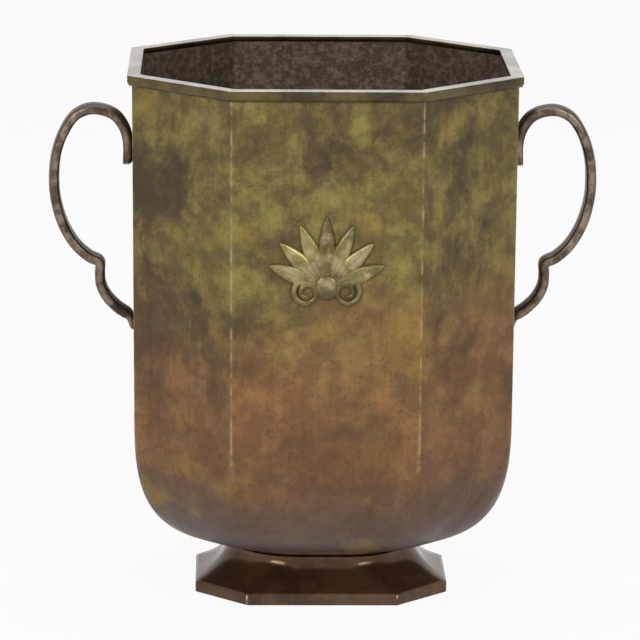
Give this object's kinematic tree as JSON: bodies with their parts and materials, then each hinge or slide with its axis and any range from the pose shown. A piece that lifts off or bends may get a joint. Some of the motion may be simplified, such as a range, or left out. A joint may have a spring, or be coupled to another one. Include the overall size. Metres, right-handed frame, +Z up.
{
  "type": "bronze vase",
  "caption": "Octagonal cast bronze vase with a rounded bowl, moulded rim, scrolled strap handles and a flared slab foot.",
  "frame": {"origin": "centre of the foot's underside, on the surface that the vase stands on", "axes": "+Z up the vase's axis, +X towards the right handle, and the relief faces -Y"},
  "size_m": [0.2266, 0.16, 0.22],
  "materials": {
    "body_bronze": "mottled olive and copper-brown patina, satin",
    "rim_bronze": "worn pale bronze, satin",
    "foot_bronze": "dark brown patina, glossy",
    "relief_bronze": "rubbed olive patina, satin",
    "handle_bronze": "brown patina, satin",
    "fastener_brass": "tarnished, matt"
  },
  "bodies": {
    "root": {"body_shell": "body_bronze", "rim_ring": "rim_bronze", "neck_collar": "foot_bronze", "foot_pedestal": "foot_bronze", "relief_ornament": "relief_bronze", "left_handle": "handle_bronze", "left_upper_rivet": "fastener_brass", "left_lower_rivet": "fastener_brass", "right_handle": "handle_bronze", "right_upper_rivet": "fastener_brass", "right_lower_rivet": "fastener_brass", "foot_bolt": "fastener_brass", "foot_washer": "fastener_brass", "foot_nut": "fastener_brass"}
  },
  "joints": []
}
